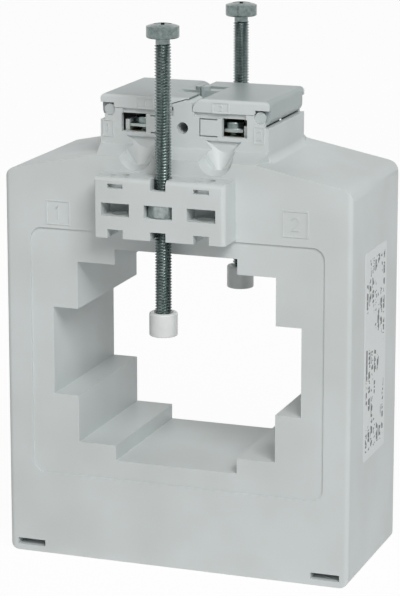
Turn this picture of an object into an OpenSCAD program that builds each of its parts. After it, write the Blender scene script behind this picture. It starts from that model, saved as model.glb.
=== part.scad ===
// Window-type current transformer with two bar clamp screws and hinged terminal covers.
// Frame: Z up, front face towards -Y, origin in the middle of the foot. Sizes in mm.

/* [Case] */
// Case depth, front face to rear face
body_d = 40; // [34:1:60]
// Height of the flat top beside the terminal neck
top_z = 101.4; // [99:0.2:120]
// Width of that flat top
top_w = 40; // [40:1:50]
// Height of the sloping shoulder at the case side
side_z = 96.6; // [93:0.2:110]
// Wall thickness of the case
wall = 2; // [1.2:0.1:3]
// Roof thickness under the neck
roof = 5.4; // [4:0.2:8]
// Rounding of the shoulder corners
shoulder_r = 3.5; // [1:0.5:5]
// Rounding of the foot corners
foot_r = 2.5; // [0.5:0.5:4]
// Rounding of the upright front edges
edge_r = 1.4; // [0.4:0.1:3]
// Seam of the two window tubes behind the middle
seam_y = 2.3; // [0:0.1:4]

/* [Window] */
// Middle of the stepped window above the foot
win_z = 52.1; // [50:0.1:56]
// Width of the wide slot
win_w1 = 63.3; // [50:0.1:64]
// Height of the wide slot
win_h1 = 21.8; // [10:0.1:30]
// Width of the middle slot
win_w2 = 50.5; // [40:0.1:56]
// Height of the middle slot
win_h2 = 45.3; // [34:0.1:48]
// Width of the tall slot
win_w3 = 31.2; // [20:0.1:36]
// Height of the tall slot
win_h3 = 52.9; // [50:0.1:54]

/* [Front panel] */
// Margin of the shallow panel past the wide slot
panel_m = 5.7; // [3:0.1:6]
// Middle of the panel above the foot
panel_z = 51.8; // [51:0.1:52.1]
// Half height of the panel
panel_h = 30.9; // [30:0.1:31]
// Depth of the panel
panel_t = 0.4; // [0.2:0.1:0.8]
// Corner radius of the panel
panel_r = 3; // [1:0.5:5]

/* [Foot slots] */
// Inset of each foot slot from the case side
foot_in = 5.9; // [5.5:0.1:8]
// Length of a foot slot
foot_w = 7.2; // [4:0.2:8]
// Height of a foot slot
foot_h = 1.6; // [1:0.1:2.4]
// Lower edge of a foot slot
foot_z = 1.5; // [1:0.1:2.5]
// Depth of a foot slot
foot_d = 4.5; // [2:0.5:6]

/* [Clamp block] */
// Width of the clamp block
block_w = 32.7; // [31:0.1:36]
// Height of the clamp block
block_h = 14.6; // [14:0.1:18]
// Underside of the clamp block
block_z = 83.1; // [82.9:0.1:83.2]
// Depth the block stands proud of the face
block_t = 7.65; // [7.5:0.05:9]
// Offset of the block's middle to the left
block_off = 1.05; // [0:0.05:2]
// Offset of the middle screw to the left
screw_off = 1.4; // [0:0.1:2.5]
// Distance of the screw axes from the case face
screw_out = 3.95; // [3.9:0.05:4.1]
// Spacing of the three screw channels
pitch_x = 10.8; // [9.5:0.1:11.5]
// Clearance of a screw channel on its radius
channel_c = 0.2; // [0.1:0.05:0.4]
// Width of the notches under the block
notch_w = 3.9; // [3:0.1:5]
// Height of the notches under the block
notch_h = 2.1; // [1:0.1:3]
// Rounding of the block's top edge
block_r = 1.2; // [0.4:0.1:2]

/* [Clamp screws] */
// Outside diameter of the clamp screw thread
screw_d = 3.95; // [3:0.05:4]
// Length under the head
screw_l = 68.4; // [60:0.2:72]
// Head diameter
head_d = 7.8; // [6:0.1:7.8]
// Head height
head_h = 3.5; // [2:0.1:4]
// Underside of the front screw's head
front_head_z = 130.9; // [126:0.1:134]
// Underside of the rear screw's head
rear_head_z = 130.4; // [126:0.1:134]
// Nut size across flats
nut_af = 7; // [6:0.1:7.5]
// Nut height
nut_h = 3.0; // [2.4:0.1:3.2]
// Clearance of the nut in its window
nut_c = 0.05; // [0.02:0.01:0.15]
// Underside of the nut above the block's underside
nut_rise = 5.4; // [4:0.1:7]
// Cap diameter
cap_d = 6.8; // [6:0.1:7]
// Cap height
cap_h = 5.65; // [4:0.05:8]
// Floor thickness of the cap
cap_floor = 0.8; // [0.5:0.1:1.5]
// Play under the front screw's tip
front_seat = 2.05; // [0.1:0.05:3]
// Play under the rear screw's tip
rear_seat = 0.15; // [0.1:0.05:3]
// Running clearance of threads and pins, on the radius
run_c = 0.05; // [0.03:0.01:0.08]

/* [Terminal neck] */
// Neck width
neck_w = 42.6; // [41:0.1:46]
// Neck depth
neck_d = 27.4; // [26:0.2:32]
// Height of the neck's front wall
neck_z = 111.95; // [111:0.05:113]
// Wall thickness of the neck
neck_wall = 1.4; // [1:0.1:2]
// Half width of the middle wall
mid_w = 3.2; // [2.4:0.1:4]
// Rise of the ledge from the front edge to the neck
ledge_rise = 1.9; // [0.5:0.1:3]
// Height of the chamber floor above the flat top
floor_rise = 0.6; // [0.2:0.1:1.5]
// Offset of each wire chute from its terminal, towards the middle
chute_off = 1.2; // [0.6:0.1:1.8]
// Radius of the chute mouth
chute_r = 4.4; // [3:0.1:4.6]
// Top of the chute above the flat top
chute_rise = 4; // [3:0.1:4.4]
// Radius of the round hole in the middle wall
hole_r = 1.4; // [0.8:0.1:2]
// Depth of that hole
hole_d = 7; // [3:0.5:9]

/* [Terminals] */
// Inset of each terminal from the neck's side
bar_in = 10.1; // [9.8:0.1:10.4]
// Width of a terminal bar
bar_w = 6.4; // [5:0.1:6.6]
// Thickness of a terminal bar
bar_t = 2.6; // [1.5:0.1:3]
// Underside of the bar above the chamber floor
bar_rise = 1.8; // [1:0.1:2.2]
// Gap under a pressure plate at rest
wire_gap = 0.9; // [0.4:0.1:3]
// Inset of each terminal screw from the neck's front or rear
term_in = 4.4; // [4.2:0.1:5.4]
// Terminal screw diameter
term_d = 3.9; // [3:0.1:4]
// Terminal screw length under the head
term_l = 9; // [8:0.5:12]
// Terminal screw head diameter
term_head_d = 5.2; // [4.8:0.1:5.4]
// Terminal screw head height
term_head_h = 1.7; // [1.4:0.1:2.4]
// Pressure plate thickness
plate_t = 1; // [0.6:0.1:1.2]
// Side clearance of a pressure plate
plate_c = 0.3; // [0.2:0.05:0.5]

/* [Covers] */
// Top of the covers
cover_z = 115.3; // [115:0.1:117]
// Wall thickness of a cover
cover_t = 1.4; // [1:0.1:1.6]
// Gap between a cover and what it closes on
cover_gap = 0.1; // [0.08:0.02:0.2]
// Pivot inset from the neck's side
pivot_in = 2.25; // [2.1:0.05:2.6]
// Pivot height
pivot_z = 111.4; // [111.2:0.1:111.8]
// Hinge pin diameter
pin_d = 2.8; // [2:0.1:3]
// Inner edge of a cover from the middle
lobe_x = 2.2; // [2:0.1:2.6]
// Radius of the cover's inner upper edge
lobe_r = 3.2; // [2:0.1:3.4]
// Diameter of the seal lug between the covers
lug_d = 3.7; // [3:0.1:4]
// Slot between the two halves of the lug
lug_gap = 0.3; // [0.2:0.05:0.6]
// Rise of the lug above the covers
lug_rise = 0.9; // [0.2:0.1:1.4]
// Open length beside the lug
lug_room = 3.4; // [2:0.1:5]
// Recess of the hinge pins in the walls
pin_recess = 0.6; // [0.2:0.1:1]
// Gap of the cover wall above the hinge pin
pin_slot = 0.4; // [0.2:0.05:0.6]
// Rounding of the covers' front and rear edges
cover_r = 0.9; // [0.3:0.1:1.2]

/* [Core and winding] */
// Radial build of the core
core_t = 4.15; // [2:0.05:12]
// Core width along the depth
core_w = 27; // [20:0.5:28]
// Wall of the core case
core_case_t = 0.6; // [0.4:0.1:0.8]
// Build of the winding
wind_t = 1.1; // [0.6:0.1:1.3]
// Clearance round the winding
wind_c = 0.4; // [0.2:0.1:0.6]
// Lead diameter
lead_d = 1.6; // [1:0.1:2]

/* [Label] */
// Label width
label_w = 18; // [10:1:24]
// Label height
label_h = 51.4; // [40:0.2:60]
// Middle of the label above the foot
label_z = 53.8; // [50:0.2:56]
// Label thickness
label_t = 0.1; // [0.05:0.05:0.2]

/* [Hidden] */
$fn = 64;

ring_in_x = win_w1 / 2 + wall + wind_c;
ring_in_z = win_h3 / 2 + wall + wind_c;
ring_t = core_t + 2 * (core_case_t + wind_t);
ring_hy = core_w / 2 + core_case_t + wind_t;
hw = ring_in_x + ring_t + wind_c + wall;
hd = body_d / 2;
foot_x = hw - foot_in;
slope = (top_z - side_z) / (hw - top_w / 2);
neck_hw = neck_w / 2;
neck_hd = neck_d / 2;
bar_x = neck_hw - bar_in;
term_y = neck_hd - term_in;
chute_x = bar_x - chute_off;
floor_z = top_z + floor_rise;
ledge_z = top_z + ledge_rise;
bar_z = floor_z + bar_rise;
bar_top = bar_z + bar_t;
plate_z = bar_top + wire_gap;
term_head_z = plate_z + plate_t;
sill_z = bar_top;
lintel_z = sill_z + 4.4;
pivot_x = neck_hw - pivot_in;
side_top = pivot_z - pivot_in - 0.15;
tongue_y = lug_d / 2 + lug_room;
axis_y = hd + screw_out;
nut_z = block_z + nut_rise;
nut_r = nut_af / 2 + 0.2;
block_top = block_z + block_h;
guide_x = bar_w / 2 + plate_c / 2;
opening_x0 = bar_x - 1.6;
opening_x1 = bar_x + 4.7;
boss_r = 3.2;
boss_x = hw - wall - boss_r - 0.3;
boss_low = wall + boss_r + 0.3;
boss_high = side_z - wall - boss_r - 0.3;
peg_r = 1.5;
peg_l = 3;

body_col = [0.78, 0.79, 0.78];
steel_col = [0.62, 0.64, 0.64];
brass_col = [0.75, 0.68, 0.45];
copper_col = [0.72, 0.42, 0.25];

// ---- helpers ----

module along_y(y0, y1) {
    translate([0, y1, 0])
        rotate([90, 0, 0])
            linear_extrude(y1 - y0)
                children();
}

module along_x(x0, x1) {
    translate([x0, 0, 0])
        rotate([90, 0, 90])
            linear_extrude(x1 - x0)
                children();
}

module both_sides() {
    children();
    mirror([1, 0, 0]) children();
}

// Area outside a fillet of radius r at corner p, between edge directions a and b.
module corner_off(p, a, b, r) {
    s = a + b;
    half = acos(a * b) / 2;
    c = p + s / norm(s) * r / sin(half);
    d = r / tan(half);
    difference() {
        polygon([p - s * 0.2, p + a * d, c, p + b * d]);
        translate(c) circle(r);
    }
}

module rounded_rect(x0, x1, y0, y1, r) {
    difference() {
        translate([x0, y0]) square([x1 - x0, y1 - y0]);
        corner_off([x0, y0], [1, 0], [0, 1], r);
        corner_off([x1, y0], [-1, 0], [0, 1], r);
        corner_off([x0, y1], [1, 0], [0, -1], r);
        corner_off([x1, y1], [-1, 0], [0, -1], r);
    }
}

module rod_y(x, z, r, y0, y1) {
    translate([x, y1, z])
        rotate([90, 0, 0])
            cylinder(r = r, h = y1 - y0);
}

module rod_z(x, y, r, z0, z1) {
    translate([x, y, z0])
        cylinder(r = r, h = z1 - z0);
}

module block3(x0, x1, y0, y1, z0, z1) {
    translate([x0, y0, z0])
        cube([x1 - x0, y1 - y0, z1 - z0]);
}

// ---- case ----

module case_outline() {
    dir = [-1, slope] / norm([-1, slope]);
    difference() {
        polygon([[-hw, 0], [hw, 0], [hw, side_z], [top_w / 2, top_z], [-top_w / 2, top_z], [-hw, side_z]]);
        corner_off([hw, side_z], [0, -1], dir, shoulder_r);
        corner_off([-hw, side_z], [0, -1], [-dir[0], dir[1]], shoulder_r);
        corner_off([hw, 0], [-1, 0], [0, 1], foot_r);
        corner_off([-hw, 0], [1, 0], [0, 1], foot_r);
    }
}

module cavity_outline() {
    w = hw - wall;
    drop = wall * norm([1, slope]);
    difference() {
        polygon([[-w, wall], [w, wall], [w, side_z + slope * wall - drop], [neck_hw + 1, top_z - slope *
            (neck_hw + 1 - top_w / 2) - drop], [neck_hw, top_z - roof], [-neck_hw, top_z - roof],
            [-neck_hw - 1, top_z - slope * (neck_hw + 1 - top_w / 2) - drop],
            [-w, side_z + slope * wall - drop]]);
        window_outline(wall);
    }
}

module window_outline(t) {
    for (s = [[win_w1, win_h1], [win_w2, win_h2], [win_w3, win_h3]])
        translate([-s[0] / 2 - t, win_z - s[1] / 2 - t])
            square([s[0] + 2 * t, s[1] + 2 * t]);
}

module plan_outline() {
    difference() {
        translate([-hw, -hd]) square([2 * hw, hd]);
        corner_off([-hw, -hd], [1, 0], [0, 1], edge_r);
        corner_off([hw, -hd], [-1, 0], [0, 1], edge_r);
    }
}

module case_half() {
    intersection() {
        difference() {
            along_y(-hd, 0) case_outline();
            along_y(-hd + wall, 1) cavity_outline();
        }
        translate([0, 0, -1]) linear_extrude(top_z + 2) plan_outline();
    }
}

module bosses() {
    for (p = [[boss_x, boss_low], [boss_x, boss_high]])
        both_sides() rod_y(p[0], p[1], boss_r, -hd + wall, 0);
    for (z = [boss_low, boss_high])
        rod_y(-boss_x, z, peg_r, -1, peg_l);
}

module sockets() {
    for (z = [boss_low, boss_high])
        rod_y(boss_x, z, peg_r + run_c, -peg_l - 0.3, 1);
}

// Ribs that hold the winding clear of the front wall.
module core_pads() {
    x0 = ring_in_x + 1;
    x1 = ring_in_x + ring_t - 1;
    for (z = [win_z - 16, win_z + 6])
        both_sides() block3(x0, x1, -hd + wall / 2, -ring_hy, z, z + 10);
}

module foot_pocket() {
    block3(foot_x - foot_w / 2 - 1, hw - wall / 2, -hd + wall / 2, -hd + foot_d + 1, wall / 2,
        foot_z + foot_h + 1);
}

module foot_slot() {
    block3(foot_x - foot_w / 2, foot_x + foot_w / 2, -hd - 1, -hd + foot_d, foot_z, foot_z + foot_h);
}

module front_panel() {
    w = win_w1 / 2 + panel_m;
    along_y(-hd - 1, -hd + panel_t)
        rounded_rect(-w, w, panel_z - panel_h, panel_z + panel_h, panel_r);
}

// ---- clamp block ----

module clamp_block() {
    x0 = -block_off - block_w / 2;
    x1 = x0 + block_w;
    intersection() {
        along_x(x0, x1)
            difference() {
                translate([-hd - block_t, block_z]) square([block_t, block_h]);
                corner_off([-hd - block_t, block_top], [1, 0], [0, -1], block_r);
            }
        translate([0, 0, block_z - 1])
            linear_extrude(block_h + 2)
                difference() {
                    translate([x0, -hd - block_t]) square([block_w, block_t]);
                    corner_off([x1, -hd - block_t], [-1, 0], [0, 1], block_r);
                    corner_off([x0, -hd - block_t], [1, 0], [0, 1], block_r / 3);
                }
    }
}

module clamp_block_cuts() {
    y0 = -hd - block_t - 1;
    r = screw_d / 2 + channel_c;
    w = nut_af / 2 + nut_c;
    for (i = [-1, 0, 1]) {
        x = -screw_off + i * pitch_x;
        rod_z(x, -axis_y, r, block_z - 1, block_top + 1);
        translate([0, 0, nut_z - nut_c])
            linear_extrude(nut_h + 2 * nut_c)
                polygon([[x - w, y0], [x + w, y0], [x + w, -axis_y + w / sqrt(3)],
                    [x, -axis_y + 2 * w / sqrt(3)], [x - w, -axis_y + w / sqrt(3)]]);
        block3(x - notch_w / 2, x + notch_w / 2, y0, -hd - 1, block_z - 1, block_z + notch_h);
    }
    // The middle channel is broken open at the top, the outer two keep their bridge.
    for (i = [-1, 1]) {
        x = -screw_off + i * pitch_x;
        block3(x - notch_w / 2, x + notch_w / 2, y0, -axis_y, block_top - 2.6, block_top - 1.5);
    }
    block3(-screw_off - notch_w / 2, -screw_off + notch_w / 2, y0, -axis_y, block_top - 2.6, block_top + 1);
}

// ---- terminal neck ----

module ledge() {
    along_x(-neck_hw, neck_hw)
        polygon([[-hd, top_z - roof / 2], [-hd, top_z], [-neck_hd, ledge_z], [-neck_hd + 1, ledge_z],
            [-neck_hd + 1, top_z - roof / 2]]);
}

module ledge_side() {
    // trims the ledge back to the width of the flat top at the front edge
    translate([0, 0, top_z - roof])
        linear_extrude(roof + ledge_rise + 1)
            polygon([[top_w / 2, -hd - 1], [neck_hw + 1, -hd - 1], [neck_hw + 1, -neck_hd],
                [neck_hw, -neck_hd], [top_w / 2, -hd]]);
}

module neck_fillet() {
    r = 2;
    z = top_z - slope * (neck_hw - top_w / 2);
    along_y(-neck_hd, 0)
        corner_off([neck_hw, z], [0, 1], [1, -slope] / norm([1, slope]), r);
}

module lobe_outline() {
    h = cover_z - 0.5;
    difference() {
        polygon([[-2.9, neck_z - 1], [-2.9, h - 1.15], [0.55, h], [lobe_x - 0.15, h], [lobe_x - 0.15, neck_z - 1]]);
        corner_off([lobe_x - 0.15, h], [-1, 0], [0, -1], 1.5);
    }
}

module neck() {
    w = neck_hw - neck_wall;
    difference() {
        along_y(-neck_hd, 0)
            translate([-neck_hw, top_z - roof / 2])
                square([neck_w, neck_z - top_z + roof / 2]);
        // terminal chambers
        both_sides() block3(mid_w, w, -neck_hd + neck_wall, 1, floor_z, neck_z + 1);
        // room for the hinge side of the covers
        both_sides() {
            block3(pivot_x + 1.15, neck_hw + 1, -neck_hd - 1, 1, side_top, neck_z + 1);
            block3(w - 0.01, neck_hw + 1, -neck_hd + neck_wall, 1, side_top, neck_z + 1);
        }
        block3(-mid_w - 1, mid_w + 1, -neck_hd + neck_wall, 1, neck_z - 0.4, neck_z + 1);
    }
    along_y(-neck_hd, -tongue_y - 0.3) lobe_outline();
    // guides beside each terminal, and the rest for the bar
    both_sides() {
        block3(bar_x - guide_x - 1.1, bar_x - guide_x, -neck_hd + neck_wall + 0.5, -term_y + 4, floor_z - 0.5,
            neck_z);
        block3(bar_x + guide_x, bar_x + guide_x + 1, -neck_hd + neck_wall + 0.5, -term_y + 4, floor_z - 0.5,
            side_top);
        block3(bar_x - guide_x - 0.5, bar_x + guide_x + 0.5, -5.6, -4.4, floor_z - 0.5, bar_z);
    }
}

module neck_cuts() {
    y0 = -neck_hd - 1;
    y1 = -neck_hd + neck_wall;
    both_sides() {
        // wire opening
        block3(opening_x0, opening_x1, y0, y1 + 0.4, sill_z, lintel_z);
        // shaded strip under the cover edge
        along_y(y0, -neck_hd + neck_wall * 0.55)
            difference() {
                translate([mid_w - 0.6, lintel_z]) square([opening_x1 - mid_w + 0.3, neck_z + 1 - lintel_z]);
                corner_off([opening_x1 - 0.3, neck_z + 1], [-1, 0], [0, -1], 0.8);
            }
        // grooves round the break-out tab
        for (z = [sill_z - 0.15, lintel_z - 0.45])
            block3(mid_w + 0.8, opening_x0 - 1.1, y0, y1 - 0.4, z, z + 0.3);
        block3(mid_w + 0.7, mid_w + 1, y0, y1 - 0.4, sill_z - 0.15, lintel_z - 0.15);
        // bearing of the hinge pin
        rod_y(pivot_x, pivot_z, pin_d / 2 + run_c, y0, y1 + 0.01);
        // wells for the terminal screws and the lead
        rod_z(bar_x, -term_y, term_d / 2 + 0.6, top_z - roof - 1, floor_z + 1);
        rod_z(bar_x, 0, lead_d / 2 + 0.4, top_z - roof - 1, floor_z + 1);
        chute();
    }
    rod_y(-0.3, (sill_z + lintel_z) / 2 - 0.6, hole_r, y0, -neck_hd + hole_d);
}

module chute() {
    zc = top_z + 1;
    back = -hd + 3.5;
    translate([chute_x, -hd - 0.01, zc])
        rotate([-90, 0, 0])
            cylinder(r1 = chute_r, r2 = chute_r - 0.9, h = 3.51);
    intersection() {
        translate([chute_x, back, zc - chute_r + 0.9])
            cylinder(r1 = 0.95, r2 = chute_r + 0.9, h = top_z + chute_rise - zc + chute_r - 0.9);
        block3(0, hw, -hd - 5, -neck_hd + neck_wall / 2, top_z - roof, top_z + 9);
    }
}

// The window tubes of the two halves meet at y1.
module shell(y1) {
    color(body_col)
        difference() {
            union() {
                case_half();
                along_y(-hd, y1) window_outline(wall);
                core_pads();
                both_sides() foot_pocket();
                bosses();
            }
            along_y(-hd - 1, hd) window_outline(0);
            if (y1 < 0) along_y(y1, 1) window_outline(wall);
            front_panel();
            both_sides() foot_slot();
            sockets();
            neck_cuts();
        }
}

// The neck stands on the roof of its half of the case.
module terminal_neck() {
    color(body_col)
        difference() {
            union() {
                difference() {
                    ledge();
                    both_sides() ledge_side();
                }
                neck();
                both_sides() neck_fillet();
            }
            neck_cuts();
            along_y(-hd - 1, 1) case_outline();
        }
}

module clamp_block_drilled() {
    color(body_col)
        difference() {
            clamp_block();
            clamp_block_cuts();
        }
}

module front_shell() { shell(seam_y); }
module rear_shell() { rotate([0, 0, 180]) shell(-seam_y); }
module terminal_neck_front() { terminal_neck(); }
module terminal_neck_rear() { rotate([0, 0, 180]) terminal_neck(); }
module clamp_block_front() { clamp_block_drilled(); }
module clamp_block_rear() { rotate([0, 0, 180]) clamp_block_drilled(); }

// ---- covers ----

module cover_outline() {
    difference() {
        union() {
            translate([lobe_x, pivot_z]) square([neck_hw - lobe_x, cover_z - pivot_z]);
            translate([pivot_x, pivot_z]) circle(pivot_in);
        }
        corner_off([lobe_x, cover_z], [1, 0], [0, -1], lobe_r);
        corner_off([neck_hw, cover_z], [-1, 0], [0, -1], 1.2);
    }
}

module cover_hollow() {
    difference() {
        translate([lobe_x + cover_t, pivot_z - 3])
            square([neck_hw - lobe_x - 2 * cover_t, cover_z - pivot_z + 3 - cover_t]);
        corner_off([lobe_x + cover_t, cover_z - cover_t], [1, 0], [0, -1], lobe_r - cover_t);
    }
}

// Thin tongue of the cover that reaches over the neck's rear lobe.
module tongue_outline() {
    h = cover_z - 0.3;
    polygon([[lobe_x + 4, cover_z - cover_t], [3.1, cover_z - cover_t], [3.1, h - 1.15], [2.9, h - 1.15],
        [-0.55, h], [-1.2, h], [-1.2, cover_z], [lobe_x + 4, cover_z]]);
}

module cover() {
    seat = neck_z + cover_gap;
    low = neck_hd - neck_wall - 0.15;
    pin_end = neck_hd - pin_recess;
    color(body_col)
        difference() {
            union() {
                // front and rear walls
                for (s = [-1, 1])
                    along_y(s * neck_hd - (s > 0 ? cover_t : 0), s * neck_hd + (s > 0 ? 0 : cover_t))
                        difference() {
                            cover_outline();
                            translate([0, seat - hd]) square([pivot_x, hd]);
                            translate([pivot_x - 1.2, pivot_z + pin_d / 2 + pin_slot - hd]) square([hd, hd]);
                            translate([pivot_x, pivot_z]) circle(pin_d / 2 + 0.2);
                            if (s > 0) translate([-1, seat - 1]) square([4.1, hd]);
                        }
                // top plate, inner edge and outer skirt
                along_y(-low, low)
                    difference() {
                        cover_outline();
                        cover_hollow();
                        translate([0, seat - hd]) square([pivot_x - pivot_in - 0.5, hd]);
                        translate([pivot_x, pivot_z]) circle(pin_d / 2 + 0.15);
                        translate([pivot_x - 10, pivot_z - 10]) square([10, 10]);
                    }
                along_y(-neck_hd, -low + 1)
                    difference() {
                        cover_outline();
                        cover_hollow();
                        translate([0, -1]) square([hw, cover_z - cover_t + 1]);
                    }
                along_y(low - 1, neck_hd)
                    difference() {
                        cover_outline();
                        cover_hollow();
                        translate([0, -1]) square([hw, cover_z - cover_t + 1]);
                    }
                // hinge knuckles, each with its moulded pin
                for (s = [-1, 1]) {
                    rod_y(pivot_x, pivot_z, pivot_in, s > 0 ? low - 3 : -low, s > 0 ? low : -low + 3);
                    rod_y(pivot_x, pivot_z, pin_d / 2, s > 0 ? low - 1 : -pin_end, s > 0 ? pin_end : -low + 1);
                }
                // rear tongue over the neck's lobe
                along_y(tongue_y, neck_hd) tongue_outline();
                // seal lug half on its bridge
                rod_z(0, 0, lug_d / 2, cover_z - 2.3, cover_z + lug_rise);
                block3(0, lobe_x + 3.4, -lug_d / 2 + 0.2, lug_d / 2 - 0.2, cover_z - 2.3, cover_z);
            }
            block3(-5, lug_gap / 2, -lug_d / 2 - 0.25, lug_d / 2 + 0.25, 0, cover_z + 5);
            // rounded front and rear edges
            along_x(-5, neck_hw + 1) {
                corner_off([-neck_hd, cover_z], [1, 0], [0, -1], cover_r);
                corner_off([neck_hd, cover_z], [-1, 0], [0, -1], cover_r);
            }
            // the rear inner edge gives way to the tongue
            block3(0, 3.05, tongue_y, neck_hd + 1, 0, cover_z - 1.42);
            // room for the neck's lobe under the tongue
            along_y(tongue_y, neck_hd + 1)
                polygon([[-3, cover_z - 6], [3.1, cover_z - 6], [3.1, cover_z - 1.45], [2.9, cover_z - 1.45],
                    [-0.55, cover_z - 0.3], [-3, cover_z - 0.3]]);
        }
}

module cover_right() { cover(); }
module cover_left() { rotate([0, 0, 180]) cover(); }

// ---- clamp screws ----

module clamp_screw(z) {
    r = screw_d / 2;
    dome = 1.1;
    color(steel_col)
        translate([-screw_off, -axis_y, z])
            difference() {
                rotate_extrude()
                    difference() {
                        union() {
                            polygon([[0, -screw_l], [r - 0.6, -screw_l], [r, -screw_l + 0.6], [r, -1.6],
                                [r - 0.25, -1.3], [r - 0.25, -0.2], [r, 0], [head_d / 2, 0],
                                [head_d / 2, head_h - dome], [0, head_h - dome]]);
                            intersection() {
                                translate([0, head_h - 11]) circle(11);
                                translate([0, head_h - dome - 0.4]) square([head_d / 2, dome + 1]);
                            }
                        }
                        corner_off([head_d / 2, 0], [-1, 0], [0, 1], 0.4);
                    }
                // cross recess
                translate([0, 0, head_h - 1.8])
                    for (a = [0, 90])
                        rotate([0, 0, a + 20])
                            translate([-2.1, -0.42, 0])
                                cube([4.2, 0.84, 3]);
                translate([0, 0, head_h - 2.2]) cylinder(r1 = 0.5, r2 = 1.35, h = 2.3);
            }
}

module clamp_nut() {
    color(steel_col)
        difference() {
            translate([-screw_off, -axis_y, nut_z])
                intersection() {
                    rotate([0, 0, 30]) cylinder(r = nut_af / sqrt(3), h = nut_h, $fn = 6);
                    rotate_extrude()
                        polygon([[0, 0], [nut_af / 2, 0], [nut_r, 0.3], [nut_r, nut_h - 0.3],
                            [nut_af / 2, nut_h], [0, nut_h]]);
                }
            rod_z(-screw_off, -axis_y, screw_d / 2 + run_c, nut_z - 1, nut_z + nut_h + 1);
        }
}

module screw_cap(z, seat) {
    low = z - screw_l - seat - cap_floor;
    color([0.84, 0.85, 0.85])
        translate([-screw_off, -axis_y, low])
            rotate_extrude()
                difference() {
                    square([cap_d / 2, cap_h]);
                    translate([0, cap_floor]) square([screw_d / 2 + run_c, cap_h]);
                    translate([0, cap_h - 0.5])
                        polygon([[0, 0], [screw_d / 2 + run_c, 0], [screw_d / 2 + 0.5, 0.6], [0, 0.6]]);
                    corner_off([cap_d / 2, cap_h], [-1, 0], [0, -1], 0.5);
                    corner_off([cap_d / 2, 0], [-1, 0], [0, 1], 0.3);
                }
}

module clamp_screw_front() { clamp_screw(front_head_z); }
module clamp_screw_rear() { rotate([0, 0, 180]) clamp_screw(rear_head_z); }
module clamp_nut_front() { clamp_nut(); }
module clamp_nut_rear() { rotate([0, 0, 180]) clamp_nut(); }
module screw_cap_front() { screw_cap(front_head_z, front_seat); }
module screw_cap_rear() { rotate([0, 0, 180]) screw_cap(rear_head_z, rear_seat); }

// ---- terminals ----

module terminal_bar() {
    y = neck_hd - neck_wall - 0.3;
    color(brass_col)
        difference() {
            translate([bar_x - bar_w / 2, -y, bar_z]) cube([bar_w, 2 * y, bar_t]);
            for (s = [-1, 1])
                rod_z(bar_x, s * term_y, term_d / 2 + run_c, bar_z - 1, bar_top + 1);
        }
}

module terminal_plate() {
    w = guide_x - plate_c / 2 - 0.1;
    color(steel_col)
        difference() {
            block3(bar_x - w, bar_x + w, -term_y - 2.7, -term_y + 3.2, plate_z, plate_z + plate_t);
            rod_z(bar_x, -term_y, term_d / 2 + run_c, plate_z - 1, plate_z + plate_t + 1);
        }
}

module terminal_screw() {
    r = term_d / 2;
    color(steel_col)
        translate([bar_x, -term_y, term_head_z])
            difference() {
                rotate_extrude()
                    difference() {
                        polygon([[0, -term_l], [r - 0.5, -term_l], [r, -term_l + 0.5], [r, 0],
                            [term_head_d / 2, 0], [term_head_d / 2, term_head_h], [0, term_head_h]]);
                        corner_off([term_head_d / 2, term_head_h], [-1, 0], [0, -1], 0.6);
                    }
                translate([-term_head_d, -0.4, term_head_h - 1.1]) cube([2 * term_head_d, 0.8, 2]);
            }
}

module terminal_bar_right() { terminal_bar(); }
module terminal_bar_left() { rotate([0, 0, 180]) terminal_bar(); }
module terminal_plate_right_front() { terminal_plate(); }
module terminal_plate_right_rear() { mirror([0, 1, 0]) terminal_plate(); }
module terminal_plate_left_front() { mirror([1, 0, 0]) terminal_plate(); }
module terminal_plate_left_rear() { rotate([0, 0, 180]) terminal_plate(); }
module terminal_screw_right_front() { terminal_screw(); }
module terminal_screw_right_rear() { mirror([0, 1, 0]) terminal_screw(); }
module terminal_screw_left_front() { mirror([1, 0, 0]) terminal_screw(); }
module terminal_screw_left_rear() { rotate([0, 0, 180]) terminal_screw(); }

// ---- core and winding ----

module ring_outline(a, b) {
    // ring of the core window, from offset a to offset b outside the clear inner size
    difference() {
        rounded_rect(-ring_in_x - b, ring_in_x + b, win_z - ring_in_z - b, win_z + ring_in_z + b, b + 0.5);
        rounded_rect(-ring_in_x - a, ring_in_x + a, win_z - ring_in_z - a, win_z + ring_in_z + a, a + 0.5);
    }
}

core_a = wind_t + core_case_t;

module core() {
    color([0.45, 0.46, 0.5])
        along_y(-core_w / 2, core_w / 2) ring_outline(core_a, core_a + core_t);
}

module core_case_half() {
    color([0.25, 0.26, 0.28])
        difference() {
            along_y(-core_w / 2 - core_case_t, 0) ring_outline(wind_t, wind_t + core_t + 2 * core_case_t);
            along_y(-core_w / 2, 1) ring_outline(core_a, core_a + core_t);
        }
}

module core_case_front() { core_case_half(); }
module core_case_rear() { rotate([0, 0, 180]) core_case_half(); }

module winding() {
    // the turns stop short of each other at the top, where the leads come out
    color(copper_col)
        difference() {
            along_y(-ring_hy, ring_hy) ring_outline(0, ring_t);
            along_y(-ring_hy + wind_t, ring_hy - wind_t) ring_outline(wind_t, ring_t - wind_t);
            block3(-2, 2, -ring_hy - 1, ring_hy + 1, win_z, win_z + ring_in_z + ring_t + 1);
        }
}

module lead() {
    color(copper_col)
        rod_z(bar_x, 0, lead_d / 2, win_z + ring_in_z + ring_t, bar_z);
}

module lead_right() { lead(); }
module lead_left() { mirror([1, 0, 0]) lead(); }

module rating_label() {
    color([0.86, 0.87, 0.87])
        along_x(hw, hw + label_t)
            rounded_rect(-label_w / 2, label_w / 2, label_z - label_h / 2, label_z + label_h / 2, 0.8);
}

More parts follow.
